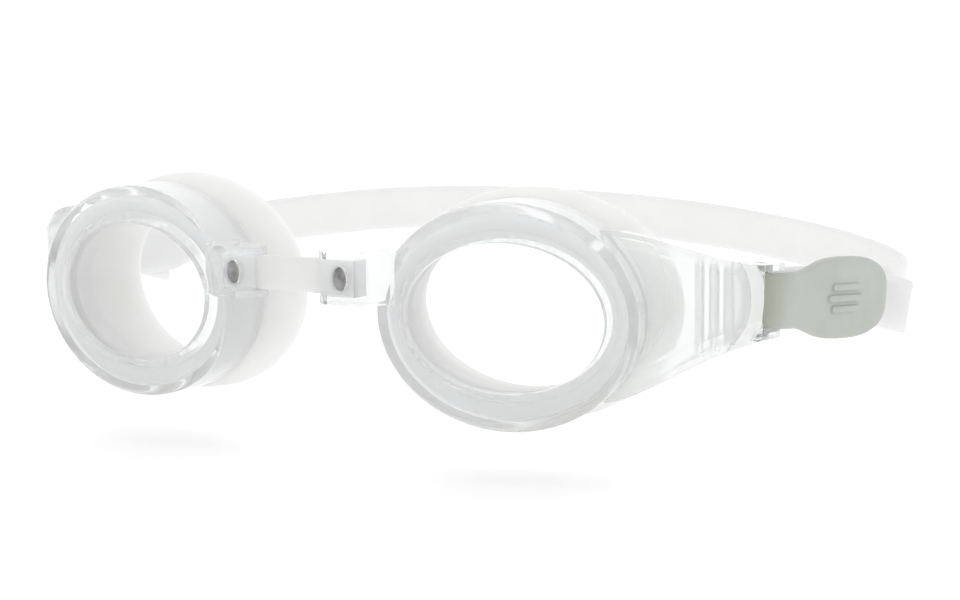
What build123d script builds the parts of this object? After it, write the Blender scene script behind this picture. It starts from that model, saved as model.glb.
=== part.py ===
"""Swim goggles: two clear eyecups on a soft nose bridge, face seals, lenses, cam-lever clips and a head strap.

Units are millimetres. Seen from the front, +X is to the right, +Y goes back towards the head, +Z is up.
The origin is on the symmetry plane, level with the eyes, where the face seals meet the face.
The right side (X > 0, the wearer's left) is drawn, and the other side is its mirror image.
"""

import os
from math import cos, radians, sin

from build123d import *

# Driving dimensions: the eyes and the oval ring in front of each
EYE_X = 33.0  # half the distance between the eye centres
RING_Y = -17.0  # front ring plane, ahead of the face
WRAP = 7.0  # each lens turns outwards by this angle
RING_A, RING_B = 20.2, 17.0  # half axes of the ring outside
OPEN_A, OPEN_B = 15.5, 11.2  # half axes of the clear opening

# Eyecup shell
SHELL_FRONT = -1.2  # depths are measured back from the ring plane
SHELL_BACK = 7.5
SHELL_WALL = 1.6
LEDGE = 0.4  # depth of the ledge that the lens sits against
RING_ROUND = 1.5

# Lens
LENS_A, LENS_B = 16.8, 12.6
LENS_THICK = 2.0
LENS_GAP = 0.1

# Face seal
SEAL_GAP = 0.15  # between seal and shell
SEAL_WAIST_DEPTH, SEAL_WAIST_TURN = 14.5, 0.5
SEAL_WAIST_A, SEAL_WAIST_B = 23.0, 18.0
SEAL_FACE_DEPTH, SEAL_FACE_TURN = 18.2, 4.0
SEAL_FACE_A, SEAL_FACE_B = 22.2, 17.2
SEAL_MOUTH_A, SEAL_MOUTH_B = 16.8, 13.2
SEAL_MOUTH_SHIFT = -1.5  # the mouth is nearer the nose than the seal's outline

# Nose bridge, its lugs and its locking pins
BRIDGE_Z = 5.4
LUG_IN, LUG_OUT = 5.5, 12.6  # along X
LUG_FRONT, LUG_DEEP, LUG_TALL = -7.6, 5.2, 7.8
LUG_CHAMFER = 1.2
SOCKET_OUT = 11.6
BAR_TALL, BAR_THICK = 5.3, 3.0
BAR_Y = LUG_FRONT + LUG_DEEP / 2  # from the ring plane
BAR_END = 11.4
SOCKET_GAP = 0.12
PIN_X = 9.4
PIN_R = 0.9
PIN_GAP = 0.08
PIN_HEAD_W, PIN_HEAD_T = 2.3, 3.5
WINDOW_W, WINDOW_T = 2.7, 3.9

# Temple arm: an open-backed channel that runs from the ring and wraps back to the clip's hinge
PIVOT_X, PIVOT_Y, PIVOT_Z = 63.2, 24.9, 1.0  # the hinge; Y is from the ring plane
CLIP_TURN = 14.7  # the clip points back and this much outwards
CLIP_DROP = 5.0  # and slopes down by this much
ARM_STATIONS = [  # outer face's X, Y from the ring plane, heading from +X, half height, centre height
    (45.0, 4.4, 8.0, 12.7, 0.1),
    (52.3, 6.0, 17.0, 11.4, 0.7),
    (57.7, 8.8, 34.0, 9.2, 1.2),
    (62.1, 13.7, 49.0, 7.2, 1.2),
    (65.0, 17.7, 55.0, 6.1, 1.1),
    (66.9, 21.0, 62.0, 5.7, 1.1),
]
ARM_WALL, ARM_FLANGE = 1.6, 1.2
ARM_DEEP = [3.4, 3.4, 4.0, 5.4, 6.2, 6.6]  # how far the flanges reach in behind the outer face
TOP_FACET = (1.9, 3.7)  # the outer face leans in by the first over the last of its height
LOW_FACET = (0.9, 1.8)
RIBS = [  # ribs inside the channel: X, Y from the ring plane, heading, half height, centre height
    (59.9, 11.0, 42.0, 6.9, 1.2),
    (61.6, 13.0, 47.0, 6.2, 1.2),
    (63.2, 15.2, 51.0, 5.6, 1.1),
]
WALL_END, WALL_END_BOW, WALL_BEVEL = -3.4, 3.2, 4.0  # the outer wall ends in a crescent
FORK_IN, FORK_OUT = 4.6, 5.6  # the prongs reach from this far to this far above and below centre
FORK_R = 2.7
HINGE_WALL = (-5.2, -3.9)  # wall that carries the prongs, along the clip
HINGE_PIN_R = 1.0
HINGE_GAP = 0.06
BAR_U, BAR_V, STRAP_BAR_R = 6.0, -1.45, 1.2  # the bar that the strap goes round, from the hinge
PRONG_END = 7.6

# Clip lever
EYE_R = 2.5
NECK_TALL = 8.3
LEVER_INNER = 1.7  # face towards the strap, out from the hinge
NECK_THICK, PADDLE_THICK = 1.6, 2.1
PADDLE_START, PADDLE_END = 8.4, 31.8
PADDLE_TALL = 12.8
PADDLE_CORNER = 5.2
FLARE = [  # half heights along the neck, from its narrow end out to the paddle
    (-0.7, 2.2),
    (0.6, 4.15),
    (5.4, 4.15),
    (7.4, 4.7),
    (10.6, 5.6),
    (14.0, 6.2),
]
EYE_WEB = (0.3, 1.7)  # the web between eye and neck starts and ends here
LEVER_ROUND = 0.6

# Strap
STRAP_WIDE, STRAP_THICK = 8.8, 1.5
STRAP_OUTER_V = 0.6  # centre line of the tail, out from the hinge
STRAP_TURN_R = 2.05
TAIL_BEND, TAIL_END, TAIL_SAG = 22.0, 41.0, 2.4
STRAP_UNDER_END = 28.0  # the straight run under the tail ends here
LOOP_LEAD = 6.0  # the loose loop goes straight on from each clip for this far
STRAP_LOOP = [  # X, Y from the ring plane, Z: the loose loop behind, from right to left
    (70.6, 66.5, -3.0),
    (70.8, 76.0, -3.8),
    (67.4, 87.5, -4.0),
    (59.9, 99.3, -3.8),
    (47.5, 112.6, -3.3),
    (31.5, 123.8, -2.6),
    (12.5, 130.8, -1.5),
    (-10.0, 131.6, -0.3),
    (-30.5, 126.4, 0.5),
    (-49.0, 115.4, 0.7),
    (-62.6, 99.0, 0.0),
    (-69.9, 80.5, -0.9),
    (-70.6, 67.0, -1.6),
]


def eye_plane(depth, turn=0.0, shift=0.0):
    """Plane of the right eye at a depth behind the ring, facing forwards, with x towards the temple."""
    back = Vector(-sin(radians(WRAP)), cos(radians(WRAP)), 0)
    across = Vector(cos(radians(WRAP)), sin(radians(WRAP)), 0)
    angle = radians(WRAP + turn)
    return Plane(
        origin=Vector(EYE_X, RING_Y, 0) + back * depth + across * shift,
        x_dir=(cos(angle), sin(angle), 0),
        z_dir=(sin(angle), -cos(angle), 0),
    )


def upright(x, y, heading, centre):
    """Upright plane across the arm, with x outwards from the arm's outer face."""
    turn = radians(heading)
    return Plane(
        origin=(x, RING_Y + y, centre),
        x_dir=(sin(turn), -cos(turn), 0),
        z_dir=(cos(turn), sin(turn), 0),
    )


def clip_plane(height=0.0):
    """Plane at the clip's hinge, square to the hinge pin, with x back along the clip and y in to the head."""
    turn, drop = radians(CLIP_TURN), radians(CLIP_DROP)
    centre = Plane(
        origin=(PIVOT_X, RING_Y + PIVOT_Y, PIVOT_Z),
        x_dir=(sin(turn) * cos(drop), cos(turn) * cos(drop), -sin(drop)),
        z_dir=(sin(turn) * sin(drop), cos(turn) * sin(drop), cos(drop)),
    )
    return centre.offset(height)


def clip_point(u, v, w=0.0):
    """A point of the clip: u back along it, v outwards and w up along the hinge pin."""
    return clip_plane().from_local_coords(Vector(u, -v, w))


def across_x(piece):
    """The same piece on the other side of the nose."""
    return mirror(piece, about=Plane.YZ, mode=Mode.PRIVATE)


# ---------------------------------------------------------------- eyecup shell
with BuildPart() as eyecup:
    # ring wall
    with BuildSketch(eye_plane(SHELL_FRONT)):
        Ellipse(RING_A, RING_B)
    extrude(amount=-(SHELL_BACK - SHELL_FRONT))
    front_edge = eyecup.edges().group_by(Axis(eye_plane(0).origin, eye_plane(0).z_dir))[-1]
    fillet(front_edge, radius=RING_ROUND)

    # temple arm: a channel lofted through upright sections, open towards the head
    lean, top_band = TOP_FACET
    low_lean, low_band = LOW_FACET
    for (x, y, heading, half, centre), deep in zip(ARM_STATIONS, ARM_DEEP):
        with BuildSketch(upright(x, y, heading, centre)):
            with BuildLine():
                Polyline(
                    (-deep, half),
                    (-lean, half),
                    (0, half - top_band),
                    (0, low_band - half),
                    (-low_lean, -half),
                    (-deep, -half),
                    (-deep, ARM_FLANGE - half),
                    (-ARM_WALL - 0.6, ARM_FLANGE - half),
                    (-ARM_WALL, low_band - half + 0.6),
                    (-ARM_WALL, half - top_band - 0.3),
                    (-ARM_WALL - lean + 0.4, half - ARM_FLANGE),
                    (-deep, half - ARM_FLANGE),
                    close=True,
                )
            make_face()
    loft()

    # crescent end of the outer wall, bevelled outwards
    for v, end in ((2.3, WALL_END), (7.3, WALL_END - WALL_BEVEL)):
        side = Plane(origin=clip_point(0, v), x_dir=clip_plane().x_dir, z_dir=-clip_plane().y_dir)
        with BuildSketch(side):
            with BuildLine():
                Polyline((end - WALL_END_BOW, -7), (14, -7), (14, 7), (end - WALL_END_BOW, 7))
                ThreePointArc((end - WALL_END_BOW, 7), (end, 0), (end - WALL_END_BOW, -7))
            make_face()
    loft(mode=Mode.SUBTRACT)

    # ribs across the channel
    for x, y, heading, half, centre in RIBS:
        with BuildSketch(upright(x, y, heading, centre)):
            with Locations((-2.3, 0)):
                Rectangle(2.6, 2 * half)
        extrude(amount=0.35, both=True)

    # the wall that carries the fork
    wall_from, wall_to = HINGE_WALL
    with BuildSketch(clip_plane(-FORK_OUT)):
        with Locations(((wall_from + wall_to) / 2, -0.4)):
            RectangleRounded(wall_to - wall_from, 6.4, 0.5)
    extrude(amount=2 * FORK_OUT)

    # the fork's two prongs, and the bar between them
    for low in (-FORK_OUT, FORK_IN):
        with BuildSketch(clip_plane(low)):
            Circle(FORK_R)
            with BuildLine():
                Polyline(
                    (wall_from, -3.2), (-2.4, -3.0), (0, -FORK_R), (3.6, -1.7), (PRONG_END - 1.4, -0.2),
                    (PRONG_END, 0.8), (PRONG_END, 2.2), (PRONG_END - 1.4, 3.2), (0, FORK_R),
                    (wall_from, 2.6), close=True,
                )
            make_face()
        extrude(amount=FORK_OUT - FORK_IN)
    with BuildSketch(clip_plane(-FORK_OUT)):
        with Locations((BAR_U, -BAR_V)):
            Circle(STRAP_BAR_R)
    extrude(amount=2 * FORK_OUT)

    # lug for the nose bridge, with a web back to the ring
    with BuildSketch(Plane.XY.offset(BRIDGE_Z - LUG_TALL / 2)):
        with BuildLine():
            Polyline(
                (LUG_IN, RING_Y + LUG_FRONT + LUG_CHAMFER),
                (LUG_IN + LUG_CHAMFER, RING_Y + LUG_FRONT),
                (LUG_OUT, RING_Y + LUG_FRONT),
                (16.4, RING_Y - 4.4),
                (16.8, RING_Y + 0.6),
                (13.2, RING_Y + 1.2),
                (LUG_OUT - 1.0, RING_Y + LUG_FRONT + LUG_DEEP),
                (LUG_IN + LUG_CHAMFER, RING_Y + LUG_FRONT + LUG_DEEP),
                (LUG_IN, RING_Y + LUG_FRONT + LUG_DEEP - LUG_CHAMFER),
                close=True,
            )
        make_face()
    extrude(amount=LUG_TALL)

    # bore for seal and lens, and the clear opening
    with BuildSketch(eye_plane(LEDGE)):
        Ellipse(RING_A - SHELL_WALL, RING_B - SHELL_WALL)
    extrude(amount=-(SHELL_BACK - LEDGE + 12), mode=Mode.SUBTRACT)
    with BuildSketch(eye_plane(SHELL_FRONT - 8)):
        Ellipse(OPEN_A, OPEN_B)
    extrude(amount=-20, mode=Mode.SUBTRACT)

    # socket for the bridge bar, its window, and the seat of the locking pin
    socket = Plane((LUG_IN - 1, RING_Y + BAR_Y, BRIDGE_Z), x_dir=(0, 1, 0), z_dir=(1, 0, 0))
    with BuildSketch(socket):
        Rectangle(BAR_THICK + 2 * SOCKET_GAP, BAR_TALL + 2 * SOCKET_GAP)
    extrude(amount=SOCKET_OUT - LUG_IN + 1, mode=Mode.SUBTRACT)
    window = Plane((PIN_X, RING_Y + LUG_FRONT, BRIDGE_Z), x_dir=(1, 0, 0), z_dir=(0, -1, 0))
    with BuildSketch(window):
        Ellipse(WINDOW_W / 2, WINDOW_T / 2)
    extrude(amount=-1.2, mode=Mode.SUBTRACT)
    with BuildSketch(window):
        Circle(PIN_R)
    extrude(amount=-(LUG_DEEP + 1), mode=Mode.SUBTRACT)

    # bores for the hinge pin
    with BuildSketch(clip_plane(-FORK_OUT)):
        Circle(HINGE_PIN_R)
    extrude(amount=2 * FORK_OUT, mode=Mode.SUBTRACT)

# ---------------------------------------------------------------- lens
with BuildPart() as lens:
    with BuildSketch(eye_plane(LEDGE)):
        Ellipse(LENS_A, LENS_B)
    extrude(amount=-LENS_THICK)
    chamfer(lens.edges(), length=0.2)

# ---------------------------------------------------------------- face seal
with BuildPart() as face_seal:
    # collar inside the shell
    with BuildSketch(eye_plane(LEDGE)):
        Ellipse(RING_A - SHELL_WALL - SEAL_GAP, RING_B - SHELL_WALL - SEAL_GAP)
    extrude(amount=-(SHELL_BACK - LEDGE + SEAL_GAP))
    # flange that swells out behind the shell and leans back towards the temple
    with BuildSketch(eye_plane(SHELL_BACK + SEAL_GAP)):
        Ellipse(RING_A - 0.2, RING_B - 0.2)
    with BuildSketch(eye_plane(SEAL_WAIST_DEPTH, SEAL_WAIST_TURN)):
        Ellipse(SEAL_WAIST_A, SEAL_WAIST_B)
    with BuildSketch(eye_plane(SEAL_FACE_DEPTH, SEAL_FACE_TURN)):
        Ellipse(SEAL_FACE_A, SEAL_FACE_B)
    loft()
    # hollow for the eye, widening towards the face
    with BuildSketch(eye_plane(LEDGE)):
        Ellipse(OPEN_A, OPEN_B)
    with BuildSketch(eye_plane(SHELL_BACK)):
        Ellipse(OPEN_A + 0.3, OPEN_B + 0.9)
    with BuildSketch(eye_plane(SEAL_FACE_DEPTH + 0.5, SEAL_FACE_TURN, SEAL_MOUTH_SHIFT)):
        Ellipse(SEAL_MOUTH_A, SEAL_MOUTH_B)
    loft(mode=Mode.SUBTRACT)
    # pocket for the lens
    with BuildSketch(eye_plane(LEDGE)):
        Ellipse(LENS_A + LENS_GAP, LENS_B + LENS_GAP)
    extrude(amount=-(LENS_THICK + LENS_GAP), mode=Mode.SUBTRACT)

# ---------------------------------------------------------------- nose bridge and locking pin
with BuildPart() as nose_bridge:
    with Locations((0, RING_Y + BAR_Y, BRIDGE_Z)):
        Box(2 * BAR_END, BAR_THICK, BAR_TALL)
    fillet(nose_bridge.edges().filter_by(Axis.X), radius=0.6)
    for side in (-1, 1):
        with BuildSketch(Plane((side * PIN_X, RING_Y + BAR_Y, BRIDGE_Z), z_dir=(0, -1, 0))):
            Circle(PIN_R + PIN_GAP)
        extrude(amount=BAR_THICK, both=True, mode=Mode.SUBTRACT)

with BuildPart() as bridge_pin:
    with BuildSketch(window.offset(-0.5)):
        Ellipse(PIN_HEAD_W / 2, PIN_HEAD_T / 2)
    extrude(amount=-(BAR_Y - BAR_THICK / 2 - LUG_FRONT - 0.5))
    with BuildSketch(window.offset(-0.5)):
        Circle(PIN_R)
    extrude(amount=-(LUG_DEEP - 0.6))

# ---------------------------------------------------------------- clip lever and hinge pin
paddle_face = Plane(
    origin=clip_point(0, LEVER_INNER),
    x_dir=clip_plane().x_dir,
    z_dir=-clip_plane().y_dir,
)
with BuildPart() as clip_lever:
    # paddle, with its outer rim rounded before the neck joins it
    with BuildSketch(paddle_face):
        with Locations(((PADDLE_START + PADDLE_END) / 2, 0)):
            RectangleRounded(PADDLE_END - PADDLE_START, PADDLE_TALL, PADDLE_CORNER)
    extrude(amount=PADDLE_THICK)
    outer_rim = clip_lever.edges().group_by(Axis(paddle_face.origin, paddle_face.z_dir))[-1]
    fillet(outer_rim, radius=LEVER_ROUND)
    # neck and the eye round the hinge pin
    with BuildSketch(clip_plane(-NECK_TALL / 2)):
        Circle(EYE_R)
        with Locations(((EYE_WEB[0] + EYE_WEB[1]) / 2, -1.2)):
            Rectangle(EYE_WEB[1] - EYE_WEB[0], 3.2)
    extrude(amount=NECK_TALL)
    with BuildSketch(paddle_face):
        with BuildLine():
            Polyline(*FLARE, *[(u, -half) for u, half in reversed(FLARE)], close=True)
        make_face()
    extrude(amount=NECK_THICK)
    with BuildSketch(clip_plane(-NECK_TALL / 2)):
        Circle(HINGE_PIN_R + HINGE_GAP)
    extrude(amount=NECK_TALL, mode=Mode.SUBTRACT)

with BuildPart() as hinge_pin:
    with BuildSketch(clip_plane(-FORK_OUT)):
        Circle(HINGE_PIN_R)
    extrude(amount=2 * FORK_OUT)
    chamfer(hinge_pin.edges().filter_by(GeomType.CIRCLE), length=0.2)

# ---------------------------------------------------------------- strap
def far_side(point):
    """The matching point on the left."""
    return Vector(-point.X, point.Y, point.Z)


def clip_route(place):
    """The strap's centre line at one clip: tail, bend round the bar, and the run under the tail."""
    tail_end = place(clip_point(TAIL_END, STRAP_OUTER_V, -TAIL_SAG))
    tail_bend = place(clip_point(TAIL_BEND, STRAP_OUTER_V))
    at_bar = place(clip_point(BAR_U, STRAP_OUTER_V))
    round_bar = place(clip_point(BAR_U - STRAP_TURN_R, STRAP_OUTER_V - STRAP_TURN_R))
    past_bar = place(clip_point(BAR_U, STRAP_OUTER_V - 2 * STRAP_TURN_R))
    run_end = place(clip_point(STRAP_UNDER_END, STRAP_OUTER_V - 2 * STRAP_TURN_R))
    along = (run_end - past_bar).normalized()
    sagging = Spline(tail_end, tail_bend, tangents=[tail_bend - tail_end, -along])
    held = Line(tail_bend, at_bar)
    bend = ThreePointArc(at_bar, round_bar, past_bar)
    under = Line(past_bar, run_end)
    return [sagging, held, bend, under], run_end, along


with BuildPart() as strap:
    with BuildLine():
        right_edges, right_end, right_way = clip_route(lambda point: point)
        left_edges, left_end, left_way = clip_route(far_side)
        loose = [Vector(x, RING_Y + y, z) for x, y, z in STRAP_LOOP]
        right_lead = right_end + right_way * LOOP_LEAD
        left_lead = left_end + left_way * LOOP_LEAD
        loop = Spline(right_end, right_lead, *loose, left_lead, left_end)
    for route in (Wire(right_edges + [loop]), Wire(left_edges)):
        with BuildSketch(Plane(origin=route @ 0, x_dir=(0, 0, 1), z_dir=route % 0)):
            RectangleRounded(STRAP_WIDE, STRAP_THICK, 0.35)
        sweep(path=route, binormal=route.moved(Location((0, 0, 20))))

# ---------------------------------------------------------------- hand over
PAIRS = {
    "eyecup": eyecup,
    "lens": lens,
    "face_seal": face_seal,
    "bridge_pin": bridge_pin,
    "clip_lever": clip_lever,
    "clip_hinge_pin": hinge_pin,
}
SINGLES = {"nose_bridge": nose_bridge, "head_strap": strap}

os.makedirs("parts", exist_ok=True)


def save(solid, name):
    """Writes one named piece."""
    solid.label = name
    export_step(solid, f"parts/{name}.step")


for name, builder in PAIRS.items():
    save(builder.part, f"right_{name}")
    save(across_x(builder.part), f"left_{name}")
for name, builder in SINGLES.items():
    save(builder.part, name)
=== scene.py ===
"""Looks for the swim goggles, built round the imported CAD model. Metres, in the part's own frame.

Seen from the front, +X is to the right, +Y goes back towards the head and +Z is up.
"""

from math import cos, pi, radians, sin

import bpy
import numpy as np
from mathutils import Matrix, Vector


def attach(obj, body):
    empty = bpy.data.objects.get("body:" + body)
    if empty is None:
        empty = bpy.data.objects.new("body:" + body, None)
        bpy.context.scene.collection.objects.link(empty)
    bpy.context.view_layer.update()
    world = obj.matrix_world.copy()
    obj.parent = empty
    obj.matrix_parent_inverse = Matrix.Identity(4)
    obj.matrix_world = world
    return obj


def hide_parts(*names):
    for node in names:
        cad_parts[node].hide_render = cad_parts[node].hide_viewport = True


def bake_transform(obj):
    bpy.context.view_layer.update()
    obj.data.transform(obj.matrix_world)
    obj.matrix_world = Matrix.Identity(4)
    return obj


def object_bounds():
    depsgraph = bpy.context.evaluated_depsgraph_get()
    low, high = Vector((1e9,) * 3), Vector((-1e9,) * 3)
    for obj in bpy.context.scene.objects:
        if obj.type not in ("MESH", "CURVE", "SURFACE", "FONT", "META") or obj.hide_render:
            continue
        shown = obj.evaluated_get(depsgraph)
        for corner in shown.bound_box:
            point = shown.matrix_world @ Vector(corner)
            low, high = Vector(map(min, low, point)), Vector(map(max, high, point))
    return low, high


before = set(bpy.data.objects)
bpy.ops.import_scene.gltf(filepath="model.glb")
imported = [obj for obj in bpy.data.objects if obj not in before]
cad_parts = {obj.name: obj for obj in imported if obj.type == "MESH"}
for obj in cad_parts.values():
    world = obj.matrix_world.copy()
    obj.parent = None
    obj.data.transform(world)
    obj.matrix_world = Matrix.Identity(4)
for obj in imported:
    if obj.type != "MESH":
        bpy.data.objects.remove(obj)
cad_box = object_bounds()

MM = 0.001

# ------------------------------------------------------------------ dimensions, in millimetres
EYE_X, RING_Y, WRAP = 33.0, -17.0, 7.0
BRIDGE_Z, BAR_Y = 5.4, -22.0
BAR_TALL, BAR_THICK, BAR_END = 5.3, 3.0, 11.4
PIVOT = np.array([63.2, 7.9, 1.0])
CLIP_TURN, CLIP_DROP = 14.7, 5.0
STRAP_WIDE, STRAP_THICK = 8.8, 1.5
BAR_FREE = 5.2  # half the length of the bridge bar that shows between the lugs
CREST_OUT, CREST_BOW, CREST_BACK = 2.3, 3.2 / 49, 3.4  # the arm's bevelled end, in the clip's own axes


# ------------------------------------------------------------------ mesh helpers
def add_mesh(name, points, faces, sharp=None):
    """A smooth-shaded mesh object from points in millimetres; edges over the sharp angle stay crisp."""
    mesh = bpy.data.meshes.new(name)
    mesh.from_pydata([tuple(np.asarray(p) * MM) for p in points], [], faces)
    mesh.validate()
    mesh.shade_smooth()
    if sharp is not None:
        mesh.set_sharp_from_angle(angle=radians(sharp))
    obj = bpy.data.objects.new(name, mesh)
    bpy.context.scene.collection.objects.link(obj)
    return obj


def skin(loops, wrap=False):
    """Faces between equal closed loops of points, capped at both ends or wrapped into a ring."""
    count, around = len(loops), len(loops[0])
    points = [p for loop in loops for p in loop]
    faces = []
    for i in range(count if wrap else count - 1):
        j = (i + 1) % count
        for k in range(around):
            m = (k + 1) % around
            faces.append((i * around + k, i * around + m, j * around + m, j * around + k))
    if not wrap:
        faces.append(tuple(reversed(range(around))))
        faces.append(tuple((count - 1) * around + k for k in range(around)))
    return points, faces


def mirrored(obj, name):
    """The same mesh on the other side of the nose, with its faces still turned outwards."""
    mesh = obj.data.copy()
    mesh.name = name
    mesh.transform(Matrix.Scale(-1, 4, (1, 0, 0)))
    mesh.flip_normals()
    twin = bpy.data.objects.new(name, mesh)
    bpy.context.scene.collection.objects.link(twin)
    for modifier in obj.modifiers:
        copy = twin.modifiers.new(modifier.name, modifier.type)
        copy.levels = modifier.levels
        copy.render_levels = modifier.render_levels
    return twin


def subdivide(obj, levels):
    """Adds a subdivision surface."""
    modifier = obj.modifiers.new("Subdivision", "SUBSURF")
    modifier.levels = levels
    modifier.render_levels = levels
    return obj


def smooth_path(points, spacing):
    """Points at an even spacing on a centripetal curve through the given points."""
    steps = 24
    p = np.array(points, float)
    p = np.vstack([2 * p[0] - p[1], p, 2 * p[-1] - p[-2]])
    out = []
    for i in range(1, len(p) - 2):
        a, b, c, d = p[i - 1 : i + 3]
        ts = np.cumsum([0] + [max(np.linalg.norm(q), 1e-6) ** 0.5 for q in (b - a, c - b, d - c)])
        for t in np.linspace(ts[1], ts[2], steps, endpoint=False):
            a1 = (ts[1] - t) / (ts[1] - ts[0]) * a + (t - ts[0]) / (ts[1] - ts[0]) * b
            a2 = (ts[2] - t) / (ts[2] - ts[1]) * b + (t - ts[1]) / (ts[2] - ts[1]) * c
            a3 = (ts[3] - t) / (ts[3] - ts[2]) * c + (t - ts[2]) / (ts[3] - ts[2]) * d
            b1 = (ts[2] - t) / (ts[2] - ts[0]) * a1 + (t - ts[0]) / (ts[2] - ts[0]) * a2
            b2 = (ts[3] - t) / (ts[3] - ts[1]) * a2 + (t - ts[1]) / (ts[3] - ts[1]) * a3
            out.append((ts[2] - t) / (ts[2] - ts[1]) * b1 + (t - ts[1]) / (ts[2] - ts[1]) * b2)
    out.append(p[-2])
    out = np.array(out)
    length = np.concatenate([[0], np.cumsum(np.linalg.norm(np.diff(out, axis=0), axis=1))])
    marks = np.linspace(0, length[-1], max(int(length[-1] / spacing), 2) + 1)
    return np.stack([np.interp(marks, length, out[:, k]) for k in range(3)], axis=1)


def rounded_box(half_w, half_h, radius, steps=4):
    """Points round a rectangle with round corners, anticlockwise from the right."""
    out = []
    for cx, cy, start in ((1, 1, 0), (-1, 1, 90), (-1, -1, 180), (1, -1, 270)):
        for k in range(steps + 1):
            angle = radians(start + 90 * k / steps)
            x = cx * (half_w - radius) + radius * cos(angle)
            y = cy * (half_h - radius) + radius * sin(angle)
            out.append((x, y))
    return np.array(out)


# ------------------------------------------------------------------ places
def eye_point(depth, turn, across, up, shift=0.0):
    """A point at the right eye: depth behind the ring plane, in a plane turned about the vertical.

    The shift moves the plane's middle sideways, away from the nose.
    """
    wrap, angle = radians(WRAP), radians(WRAP + turn)
    x = EYE_X - depth * sin(wrap) + shift * cos(wrap) + across * cos(angle)
    y = RING_Y + depth * cos(wrap) + shift * sin(wrap) + across * sin(angle)
    return (x, y, up)


def clip_axes():
    """Unit vectors at the right clip: back along it, outwards, and up along the hinge pin."""
    turn, drop = radians(CLIP_TURN), radians(CLIP_DROP)
    along = np.array([sin(turn) * cos(drop), cos(turn) * cos(drop), -sin(drop)])
    up = np.array([sin(turn) * sin(drop), cos(turn) * sin(drop), cos(drop)])
    return along, np.cross(along, up), up


ALONG, OUT, UP = clip_axes()


def clip_point(u, v, w=0.0):
    """A point of the right clip in millimetres: u back along it, v outwards, w up."""
    return PIVOT + u * ALONG + v * OUT + w * UP


# ------------------------------------------------------------------ materials
NOISE_LOW, NOISE_HIGH = 0.3, 0.7  # most of a noise texture lies between these
MIX_LOW, MIX_HIGH, MIX_COLOUR = 6, 7, 2  # a mix node's two colour inputs and its colour output


def nodes_of(name):
    """A new node material, with its tree and its Principled shader."""
    mat = bpy.data.materials.new(name)
    mat.use_nodes = True
    tree = mat.node_tree
    shader = tree.nodes["Principled BSDF"]
    return mat, tree, shader


def noise(tree, scale, detail=3.0):
    """Noise over the object's own coordinates, in metres."""
    place = tree.nodes.new("ShaderNodeTexCoord")
    texture = tree.nodes.new("ShaderNodeTexNoise")
    texture.inputs["Scale"].default_value = scale
    texture.inputs["Detail"].default_value = detail
    tree.links.new(place.outputs["Object"], texture.inputs["Vector"])
    return texture.outputs["Fac"]


def between(tree, factor, low, high):
    """Maps noise round its middle onto low to high."""
    ramp = tree.nodes.new("ShaderNodeMapRange")
    ramp.inputs["From Min"].default_value = NOISE_LOW
    ramp.inputs["From Max"].default_value = NOISE_HIGH
    ramp.inputs["To Min"].default_value = low
    ramp.inputs["To Max"].default_value = high
    tree.links.new(factor, ramp.inputs["Value"])
    return ramp.outputs["Result"]


def two_tone(tree, factor, low, high):
    """Mixes two colours by noise round its middle."""
    ramp = tree.nodes.new("ShaderNodeValToRGB")
    ramp.color_ramp.elements[0].position = NOISE_LOW
    ramp.color_ramp.elements[1].position = NOISE_HIGH
    ramp.color_ramp.elements[0].color = (*low, 1)
    ramp.color_ramp.elements[1].color = (*high, 1)
    tree.links.new(factor, ramp.inputs["Fac"])
    return ramp.outputs["Color"]


def bump(tree, shader, height, distance, strength=0.3):
    """Bumps the shader's surface by a height in metres."""
    node = tree.nodes.new("ShaderNodeBump")
    node.inputs["Strength"].default_value = strength
    node.inputs["Distance"].default_value = distance
    tree.links.new(height, node.inputs["Height"])
    tree.links.new(node.outputs["Normal"], shader.inputs["Normal"])


def math_node(tree, kind, a, b=None):
    """One arithmetic node on sockets or numbers."""
    node = tree.nodes.new("ShaderNodeMath")
    node.operation = kind
    for slot, value in enumerate((a, b)):
        if value is None:
            continue
        if isinstance(value, (int, float)):
            node.inputs[slot].default_value = value
        else:
            tree.links.new(value, node.inputs[slot])
    return node.outputs["Value"]


def clip_sockets(tree):
    """Shader sockets for a point's place along, out of and up the nearer clip, in millimetres."""
    place = tree.nodes.new("ShaderNodeTexCoord")
    in_mm = tree.nodes.new("ShaderNodeVectorMath")
    in_mm.operation = "MULTIPLY"
    split = tree.nodes.new("ShaderNodeSeparateXYZ")
    tree.links.new(place.outputs["Object"], split.inputs["Vector"])
    join = tree.nodes.new("ShaderNodeCombineXYZ")
    tree.links.new(math_node(tree, "ABSOLUTE", split.outputs["X"]), join.inputs["X"])
    tree.links.new(split.outputs["Y"], join.inputs["Y"])
    tree.links.new(split.outputs["Z"], join.inputs["Z"])
    tree.links.new(join.outputs["Vector"], in_mm.inputs[0])
    in_mm.inputs[1].default_value = (1 / MM, 1 / MM, 1 / MM)
    out = []
    for axis in (ALONG, OUT, UP):
        dot = tree.nodes.new("ShaderNodeVectorMath")
        dot.operation = "DOT_PRODUCT"
        tree.links.new(in_mm.outputs["Vector"], dot.inputs[0])
        dot.inputs[1].default_value = tuple(axis)
        out.append(math_node(tree, "SUBTRACT", dot.outputs["Value"], float(PIVOT @ axis)))
    return out


def ramp_between(tree, value, start, end, low, high):
    """Smooth ramp from low to high as the value goes from start to end."""
    node = tree.nodes.new("ShaderNodeMapRange")
    node.interpolation_type = "SMOOTHSTEP"
    node.inputs["From Min"].default_value = start
    node.inputs["From Max"].default_value = end
    node.inputs["To Min"].default_value = low
    node.inputs["To Max"].default_value = high
    tree.links.new(value, node.inputs["Value"])
    return node.outputs["Result"]


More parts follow.
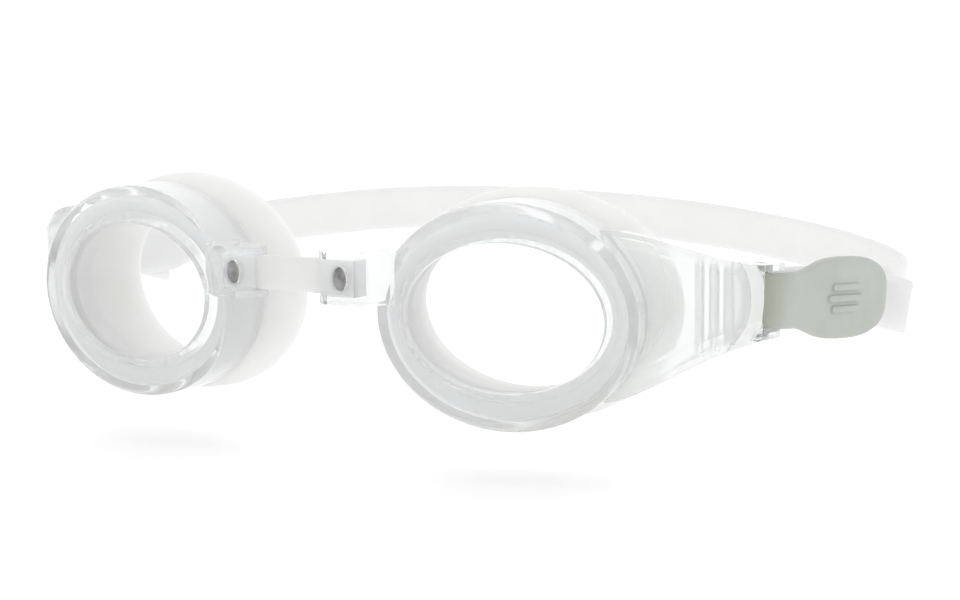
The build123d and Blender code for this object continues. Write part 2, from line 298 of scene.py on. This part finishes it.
def band(tree, value, rise, fall):
    """One between the rise and the fall, nought outside them."""
    up = ramp_between(tree, value, *rise, 0.0, 1.0)
    down = ramp_between(tree, value, *fall, 1.0, 0.0)
    return math_node(tree, "MULTIPLY", up, down)


def stronger(tree, a, a_weight, b, b_weight):
    """The larger of two masks after each is weighted."""
    left = math_node(tree, "MULTIPLY", a, a_weight)
    right = math_node(tree, "MULTIPLY", b, b_weight)
    return math_node(tree, "MAXIMUM", left, right)


def colour_mix(tree, blend="MIX"):
    """A node that mixes two colours."""
    node = tree.nodes.new("ShaderNodeMix")
    node.data_type = "RGBA"
    node.blend_type = blend
    return node


def frost_arm_end(mat):
    """Makes the shell a little milky, the arm hazier, and the arm's bevelled crescent frosted."""
    tree = mat.node_tree
    shader = tree.nodes["Principled BSDF"]
    along, out, up = clip_sockets(tree)
    bow = math_node(tree, "MULTIPLY", math_node(tree, "MULTIPLY", up, up), CREST_BOW)
    slope = math_node(tree, "MULTIPLY", math_node(tree, "SUBTRACT", out, CREST_OUT), 0.8)
    leaned = math_node(tree, "ADD", along, slope)
    ahead = math_node(tree, "ADD", leaned, math_node(tree, "ADD", bow, CREST_BACK))
    crescent = band(tree, ahead, (-3.0, -2.7), (0.4, 0.9))
    arm = band(tree, ahead, (-27.0, -17.0), (0.0, 1.0))

    least_milk = 0.2
    milk = math_node(tree, "MAXIMUM", stronger(tree, crescent, 0.72, arm, 0.3), least_milk)
    clear = math_node(tree, "SUBTRACT", 1.0, milk)
    tree.links.new(clear, shader.inputs["Transmission Weight"])

    tint = colour_mix(tree)
    tint.inputs[MIX_LOW].default_value = shader.inputs["Base Color"].default_value
    tint.inputs[MIX_HIGH].default_value = (0.90, 0.91, 0.90, 1)
    tree.links.new(stronger(tree, crescent, 1.0, arm, 0.7), tint.inputs["Factor"])
    tree.links.new(tint.outputs[MIX_COLOUR], shader.inputs["Base Color"])

    rough = shader.inputs["Roughness"].links[0].from_socket
    haze = stronger(tree, crescent, 0.4, arm, 0.1)
    tree.links.new(math_node(tree, "ADD", rough, haze), shader.inputs["Roughness"])


def paint_neck_shade(mat):
    """Paints shade on the lever: warmer and darker where it sinks in between the prongs."""
    tree = mat.node_tree
    shader = tree.nodes["Principled BSDF"]
    along = clip_sockets(tree)[0]
    # painted shade: a warm dark tint at the neck that fades out along the lever
    neck_shade_tint = colour_mix(tree)
    neck_shade_tint.inputs[MIX_LOW].default_value = (0.80, 0.78, 0.70, 1)
    neck_shade_tint.inputs[MIX_HIGH].default_value = (1, 1, 1, 1)
    tree.links.new(ramp_between(tree, along, -2.5, 4.5, 0.0, 1.0), neck_shade_tint.inputs["Factor"])
    tint = colour_mix(tree, "MULTIPLY")
    tint.inputs["Factor"].default_value = 1.0
    base = shader.inputs["Base Color"].links[0].from_socket
    tree.links.new(base, tint.inputs[MIX_LOW])
    tree.links.new(neck_shade_tint.outputs[MIX_COLOUR], tint.inputs[MIX_HIGH])
    tree.links.new(tint.outputs[MIX_COLOUR], shader.inputs["Base Color"])


def clear_plastic(name, tint, rough, spread, ior):
    """Clear moulded plastic that lets lamp light through."""
    mat, tree, shader = nodes_of(name)
    shader.inputs["Base Color"].default_value = (*tint, 1)
    shader.inputs["Transmission Weight"].default_value = 1.0
    shader.inputs["IOR"].default_value = ior
    shader.inputs["Coat Weight"].default_value = 0.7
    shader.inputs["Coat Roughness"].default_value = 0.04
    shader.inputs["Coat IOR"].default_value = 1.5
    tree.links.new(between(tree, noise(tree, 260.0), rough, rough + spread), shader.inputs["Roughness"])
    bump(tree, shader, noise(tree, 90.0, 1.0), 0.0004, 0.06)
    clear = tree.nodes.new("ShaderNodeBsdfTransparent")
    clear.inputs["Color"].default_value = (0.97, 0.975, 0.98, 1)
    rays = tree.nodes.new("ShaderNodeLightPath")
    mix = tree.nodes.new("ShaderNodeMixShader")
    tree.links.new(rays.outputs["Is Shadow Ray"], mix.inputs["Fac"])
    tree.links.new(shader.outputs["BSDF"], mix.inputs[1])
    tree.links.new(clear.outputs["BSDF"], mix.inputs[2])
    tree.links.new(mix.outputs["Shader"], tree.nodes["Material Output"].inputs["Surface"])
    return mat


def soft_rubber(name, low, high, rough, glow, grain):
    """Milky rubber: soft light through it, a faint mottle and a fine satin grain."""
    mat, tree, shader = nodes_of(name)
    tree.links.new(two_tone(tree, noise(tree, 140.0), low, high), shader.inputs["Base Color"])
    tree.links.new(between(tree, noise(tree, 900.0), rough, rough + 0.12), shader.inputs["Roughness"])
    shader.inputs["Subsurface Weight"].default_value = glow
    shader.inputs["Subsurface Radius"].default_value = (1.0, 0.95, 0.9)
    shader.inputs["Subsurface Scale"].default_value = 0.012
    shader.inputs["IOR"].default_value = 1.41
    bump(tree, shader, noise(tree, grain), 0.00006, 0.25)
    return mat


def hard_plastic(name, low, high, rough, grain, mottle=120.0):
    """Moulded opaque plastic with a fine satin texture."""
    mat, tree, shader = nodes_of(name)
    tree.links.new(two_tone(tree, noise(tree, mottle), low, high), shader.inputs["Base Color"])
    tree.links.new(between(tree, noise(tree, 1400.0), rough, rough + 0.14), shader.inputs["Roughness"])
    shader.inputs["IOR"].default_value = 1.46
    bump(tree, shader, noise(tree, grain), 0.00005, 0.3)
    return mat


SHELL = clear_plastic("clear_shell", (0.92, 0.933, 0.936), 0.02, 0.05, 1.2)
LENS = clear_plastic("clear_lens", (0.995, 0.998, 1.0), 0.0, 0.01, 1.06)
SEAL = soft_rubber("milky_silicone", (0.74, 0.74, 0.73), (0.78, 0.78, 0.77), 0.36, 1.0, 2600.0)
STRAP = soft_rubber("strap_silicone", (0.73, 0.73, 0.725), (0.76, 0.76, 0.755), 0.45, 0.5, 3000.0)
BRIDGE = soft_rubber("bridge_rubber", (0.66, 0.66, 0.65), (0.70, 0.70, 0.69), 0.4, 0.5, 2800.0)
CLIP = hard_plastic("clip_plastic", (0.44, 0.47, 0.43), (0.49, 0.52, 0.48), 0.42, 3400.0)
frost_arm_end(SHELL)
# the lever's neck gets painted shade where it sinks in between the prongs
paint_neck_shade(CLIP)
# grey pegs for the bridge, made dark: their darkness paints the shade inside the holes at the bridge's ends
PIN_PAINTED_SHADE = hard_plastic("dark_pin", (0.12, 0.12, 0.12), (0.42, 0.42, 0.41), 0.35, 2400.0, 620.0)


def wear(obj, mat, body):
    """Gives a new piece its material and, when a body is named, its body."""
    obj.data.materials.clear()
    obj.data.materials.append(mat)
    if body:
        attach(obj, body)


def recoat(node, mat):
    """Gives a CAD node a better material and leaves its shape alone."""
    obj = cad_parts[node]
    for slot in obj.material_slots:
        slot.material = mat


# ------------------------------------------------------------------ CAD pieces that stay
for side in ("right", "left"):
    recoat(f"{side}_eyecup", SHELL)
    recoat(f"{side}_lens", LENS)
    # the bridge pegs carry the dark painted shade of the holes
    recoat(f"{side}_bridge_pin", PIN_PAINTED_SHADE)
    recoat(f"{side}_clip_hinge_pin", CLIP)


# ------------------------------------------------------------------ face seals
SEAL_PROFILE = [  # depth, turn, half axes across and up, shift: once round the wall, from the lens pocket
    (2.65, 0, 15.65, 11.35, 0),
    (2.62, 0, 16.2, 12.0, 0),
    (2.60, 0, 16.8, 12.6, 0),
    (2.4, 0, 16.92, 12.72, 0),
    (1.4, 0, 16.93, 12.73, 0),
    (0.62, 0, 16.95, 12.75, 0),
    (0.47, 0, 17.15, 13.0, 0),
    (0.45, 0, 17.7, 14.1, 0),
    (0.5, 0, 18.2, 14.95, 0),
    (0.8, 0, 18.4, 15.18, 0),
    (3.0, 0, 18.42, 15.2, 0),
    (6.0, 0, 18.42, 15.2, 0),
    (7.45, 0, 18.44, 15.22, 0),
    (7.72, 0, 18.7, 15.5, 0),
    (7.78, 0, 19.4, 16.2, 0),
    (8.0, 0.1, 20.1, 16.8, 0),
    (9.2, 0.2, 21.0, 17.15, 0),
    (11.2, 0.3, 22.1, 17.6, 0),
    (13.4, 0.4, 22.85, 17.9, 0),
    (15.2, 1.0, 22.95, 17.95, 0),
    (16.6, 2.2, 22.6, 17.6, 0),
    (17.6, 3.3, 21.9, 17.0, 0),
    (18.15, 3.9, 20.9, 16.1, -0.2),
    (18.2, 4.0, 19.8, 15.1, -0.7),
    (17.95, 3.9, 18.5, 14.1, -1.1),
    (17.1, 3.5, 17.4, 13.4, -1.35),
    (15.4, 2.9, 16.75, 13.0, -1.2),
    (12.6, 1.8, 16.35, 12.65, -0.8),
    (9.5, 0.7, 16.0, 12.3, -0.3),
    (7.4, 0.2, 15.85, 12.1, 0),
    (5.0, 0, 15.7, 11.75, 0),
    (3.4, 0, 15.65, 11.45, 0),
]
AROUND = 72


def seal_loop(depth, turn, half_a, half_b, shift):
    """One oval of the seal's skin."""
    loop = []
    for k in range(AROUND):
        angle = 2 * pi * k / AROUND
        loop.append(eye_point(depth, turn, half_a * cos(angle), half_b * sin(angle), shift))
    return loop


points, faces = skin([seal_loop(*row) for row in SEAL_PROFILE], wrap=True)
right_seal = subdivide(add_mesh("right_seal_skin", points, faces), 1)
left_seal = mirrored(right_seal, "left_seal_skin")
for seal, side in ((right_seal, "right"), (left_seal, "left")):
    wear(seal, SEAL, f"{side}_side")
    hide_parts(f"{side}_face_seal")


# ------------------------------------------------------------------ clip levers
def lever_half(u):
    """Half height of the lever at u: a neck that flares into a round-ended paddle."""
    flare = np.interp(
        u,
        [-2.5, -1.2, 0.7, 1.6, 6.4, 8.0, 9.6, 11.6, 14.0, 17.0, 21.0, 32.0],
        [3.7, 3.9, 4.1, 4.25, 4.35, 4.7, 5.2, 5.8, 6.22, 6.38, 6.4, 6.4],
    )
    tip = max(0.0, (u - 19.5) / 12.25)
    return float(flare * max(0.0, 1 - tip**2.6) ** (1 / 2.2))


def lever_loop(u):
    """One upright section of the lever, round-edged and crowned; the neck rolls down over the hinge."""
    half = max(lever_half(u), 0.25)
    roll = float(np.interp(
        u,
        [-2.42, -2.3, -2.0, -1.5, -0.8, 0.0, 1.0, 2.0, 3.2],
        [0.3, 0.8, 1.3, 1.85, 2.35, 2.75, 3.05, 3.2, 3.25],
    ))
    outer = roll + 0.55 * float(np.clip((u - 5.5) / 8.0, 0, 1)) ** 1.4
    inner = min(1.75, roll - 0.3)
    tip = float(np.clip((u - 27.5) / 4.25, 0, 1))
    crown = 0.28 * (1 - tip) * float(np.clip((u + 0.5) / 4, 0, 1))
    middle, thick = (inner + outer) / 2, (outer - inner) / 2
    thick *= (1 - tip**2.4) ** 0.5 * 0.9 + 0.1
    loop = []
    for x, y in rounded_box(thick, half, min(0.62, thick * 0.95, half * 0.9), 5):
        bulge = crown * (1 - (y / half) ** 2) if x > 0 else 0.0
        loop.append(clip_point(u, middle + x + bulge, y))
    return loop


neck_part = np.linspace(-2.42, 1.6, 15)
paddle_part = np.linspace(2.2, 26, 44)
tip_part = 26 + 5.72 * np.sin(np.linspace(0, pi / 2, 24)[1:])
stations = np.concatenate([neck_part, paddle_part, tip_part])
points, faces = skin([lever_loop(u) for u in stations])


def ring_of(points, faces, radius_in, radius_out, half):
    """Adds the lever's round eye to a mesh in the making."""
    base = len(points)
    steps = 40
    rows = [
        (radius_in, -half + 0.2),
        (radius_in + 0.15, -half),
        (radius_out - 0.3, -half),
        (radius_out, -half + 0.3),
        (radius_out, half - 0.3),
        (radius_out - 0.3, half),
        (radius_in + 0.15, half),
        (radius_in, half - 0.2),
    ]
    for radius, w in rows:
        for k in range(steps):
            angle = 2 * pi * k / steps
            points.append(clip_point(radius * cos(angle), radius * sin(angle), w))
    for i in range(len(rows)):
        a = base + i * steps
        b = base + (i + 1) % len(rows) * steps
        for k in range(steps):
            m = (k + 1) % steps
            faces.append((a + k, b + k, b + m, a + m))


ring_of(points, faces, 1.08, 2.45, 4.1)


def bar_on(points, faces, u_from, u_to, v_low, v_high, w_mid, w_half):
    """Adds a small round-ended raised bar on the lever's face."""
    base = len(points)
    outline = rounded_box((u_to - u_from) / 2, w_half, w_half * 0.98, 5)
    middle = (u_from + u_to) / 2
    layers = [(1.0, v_low), (1.0, v_high - 0.06), (0.9, v_high)]
    for scale, v in layers:
        for x, y in outline:
            shrink = 1 - (1 - scale) * 0.9
            points.append(clip_point(middle + x - np.sign(x) * (1 - shrink) * w_half, v, w_mid + y * scale))
    n = len(outline)
    for i in range(len(layers) - 1):
        for k in range(n):
            m = (k + 1) % n
            a, b = base + i * n, base + (i + 1) * n
            faces.append((a + k, b + k, b + m, a + m))
    faces.append(tuple(base + (len(layers) - 1) * n + k for k in reversed(range(n))))
    faces.append(tuple(base + k for k in range(n)))


RIDGE_U = 18.0
for w_mid, reach in ((1.7, 3.9), (0.0, 4.9), (-1.7, 3.9)):
    bar_on(points, faces, RIDGE_U - reach, RIDGE_U + reach, 3.4, 4.25, w_mid, 0.5)

right_lever = add_mesh("right_lever_moulding", points, faces, sharp=50)
left_lever = mirrored(right_lever, "left_lever_moulding")
for lever, side in ((right_lever, "right"), (left_lever, "left")):
    wear(lever, CLIP, f"{side}_clip")
    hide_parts(f"{side}_clip_lever")


# ------------------------------------------------------------------ nose bridge
def bridge_loop(x):
    """One section of the nose bridge across X: a plain plug at each end and a slight waist between."""
    waist = max(0.0, 1 - (abs(x) / BAR_FREE) ** 2)
    tall = BAR_TALL / 2 - 0.12 * waist
    thick = BAR_THICK / 2 - 0.25 * waist
    loop = []
    for a, b in rounded_box(thick, tall, 0.7, 4):
        loop.append((x, BAR_Y + a, BRIDGE_Z + b))
    return loop


points, faces = skin([bridge_loop(x) for x in np.linspace(-BAR_END, BAR_END, 61)])
faces = [tuple(reversed(f)) for f in faces]
bridge = add_mesh("nose_bridge_bar", points, faces, sharp=60)
wear(bridge, BRIDGE, None)
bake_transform(bridge)
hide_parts("nose_bridge")

# ------------------------------------------------------------------ head strap
TURN_R, OUTER_V, BAR_U = 2.05, 0.6, 6.0
SPACING = 0.55
LOOSE = [  # the loop behind the arms, from the right clip round to the left one
    (70.6, 66.5, -3.0), (70.8, 76.0, -3.8), (67.4, 87.5, -4.0), (59.9, 99.3, -3.8), (47.5, 112.6, -3.3),
    (31.5, 123.8, -2.6), (12.5, 130.8, -1.5), (-10.0, 131.6, -0.3), (-30.5, 126.4, 0.5), (-49.0, 115.4, 0.7),
    (-62.6, 99.0, 0.0), (-69.9, 80.5, -0.9), (-70.6, 67.0, -1.6),
]


def clip_run():
    """The strap's centre line at the right clip: tail, bend round the bar, and the run beneath."""
    tail = [clip_point(u, OUTER_V, -2.8 * max(0.0, (u - 22) / 21) ** 1.5) for u in np.linspace(43, 8, 12)]
    bend = []
    for k in range(19):
        angle = pi * k / 18
        bend.append(clip_point(BAR_U - TURN_R * sin(angle), OUTER_V - TURN_R + TURN_R * cos(angle)))
    under = [clip_point(u, OUTER_V - 2 * TURN_R) for u in (9.0, 14.0, 20.0, 26.0, 30.0, 34.0)]
    return tail + bend + under


flip = np.array([-1.0, 1.0, 1.0])
route = clip_run()
route += [np.array([x, RING_Y + y, z]) for x, y, z in LOOSE]
route += [p * flip for p in reversed(clip_run())]
line = smooth_path(route, SPACING)


def strap_section():
    """Points round the strap's section, with a shallow channel along each broad face."""
    half_t, channel, edge, slope = STRAP_THICK / 2, 0.12, 3.1, 2.8
    outline = [tuple(p) for p in rounded_box(half_t, STRAP_WIDE / 2, 0.5)]
    inner = [(-half_t, edge), (-half_t + channel, slope), (-half_t + channel, -slope), (-half_t, -edge)]
    outer = [(half_t, -edge), (half_t - channel, -slope), (half_t - channel, slope), (half_t, edge)]
    half = len(outline) // 2
    return outline[:half] + inner + outline[half:] + outer


def strap_mesh(line):
    """The strap: its section swept along the line and rounded off at the two ends."""
    forward = np.gradient(line, axis=0)
    forward /= np.linalg.norm(forward, axis=1)[:, None]
    shape = strap_section()
    loops = []
    count = len(line)
    for i in range(count):
        t = forward[i]
        up = np.array([0, 0, 1.0]) - t[2] * t
        up /= np.linalg.norm(up)
        side = np.cross(up, t)
        end = min(i, count - 1 - i) * SPACING
        taper = 1.0 if end > 0.6 else 0.72 + 0.28 * (end / 0.6) ** 0.5
        loop = [line[i] + side * x * taper + up * y * (1 - (1 - taper) * 0.35) for x, y in shape]
        loops.append(loop)
    return skin(loops)


points, faces = strap_mesh(line)
strap = add_mesh("head_strap_band", points, faces, sharp=70)
wear(strap, STRAP, None)
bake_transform(strap)
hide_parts("head_strap")

# ------------------------------------------------------------------ floor, light and camera
FLOOR_Z = (cad_box[0][2] - 0.0002) / MM
FLOOR_HALF = 2600.0
SWEEP = [(-1200, 0), (1100, 0), (1350, 30), (1600, 140), (1800, 360), (1900, 700), (1920, 1600)]
profile = smooth_path([(0, y, z) for y, z in SWEEP], 30)
points = []
for _, y, z in profile:
    points += [(-FLOOR_HALF, y, z + FLOOR_Z), (FLOOR_HALF, y, z + FLOOR_Z)]
faces = [(2 * i, 2 * i + 1, 2 * i + 3, 2 * i + 2) for i in range(len(profile) - 1)]
floor = add_mesh("studio_floor", points, faces)
floor_mat, floor_tree, floor_shader = nodes_of("pale_floor")
floor_shader.inputs["Base Color"].default_value = (0.95, 0.95, 0.95, 1)
floor_shader.inputs["Roughness"].default_value = 0.9
floor_shader.inputs["Emission Color"].default_value = (1, 1, 1, 1)
floor_shader.inputs["Emission Strength"].default_value = 0.2
floor.data.materials.append(floor_mat)


def look_basis(ahead, up):
    """Rotation matrix rows for something that looks along -Z."""
    ahead = np.array(ahead, float) / np.linalg.norm(ahead)
    right = np.cross(ahead, up)
    right /= np.linalg.norm(right)
    up = np.cross(right, ahead)
    return np.stack([right, up, -ahead], axis=1).tolist()


def area_light(name, place, target, size, power):
    """A soft square white lamp aimed at a point."""
    data = bpy.data.lights.new(name, "AREA")
    data.shape = "SQUARE"
    data.size = size
    data.energy = power
    lamp = bpy.data.objects.new(name, data)
    bpy.context.scene.collection.objects.link(lamp)
    aim = np.array(target) - np.array(place)
    lamp.location = place
    lamp.rotation_euler = Matrix(look_basis(aim, (0, 0, 1))).to_euler()


def studio_world():
    """A white tent: bright above and behind, greyer towards the floor and at the camera's side."""
    world = bpy.data.worlds.new("studio")
    bpy.context.scene.world = world
    world.use_nodes = True
    tree = world.node_tree
    place = tree.nodes.new("ShaderNodeTexCoord")
    split = tree.nodes.new("ShaderNodeSeparateXYZ")
    tree.links.new(place.outputs["Generated"], split.inputs["Vector"])
    front = ramp_between(tree, split.outputs["Y"], -1.0, -0.35, 0.84, 0.98)
    low = ramp_between(tree, split.outputs["Z"], -0.5, 0.25, 0.86, 1.0)
    background = tree.nodes["Background"]
    tree.links.new(math_node(tree, "MULTIPLY", front, low), background.inputs["Strength"])
    background.inputs["Color"].default_value = (1, 1, 1, 1)


studio_world()
area_light("key", (0.25, -0.55, 1.1), (0, 0.02, 0), 0.9, 0.45)
area_light("rim", (-0.2, 0.9, 0.9), (0, 0.02, 0), 0.8, 0.25)

CAMERA_PLACE = (0.1616, -0.2746, 0.0487)
CAMERA_AHEAD = (-0.45198, 0.87799, -0.15760)
CAMERA_UP = (-0.06282, 0.14491, 0.98745)
camera_data = bpy.data.cameras.new("camera")
camera_data.lens = 75.1
camera_data.sensor_width = 36.0
camera_data.clip_start = 0.01
camera = bpy.data.objects.new("camera", camera_data)
bpy.context.scene.collection.objects.link(camera)
camera.location = CAMERA_PLACE
camera.rotation_euler = Matrix(look_basis(CAMERA_AHEAD, CAMERA_UP)).to_euler()
bpy.context.scene.camera = camera
bpy.context.scene.view_settings.view_transform = "Standard"
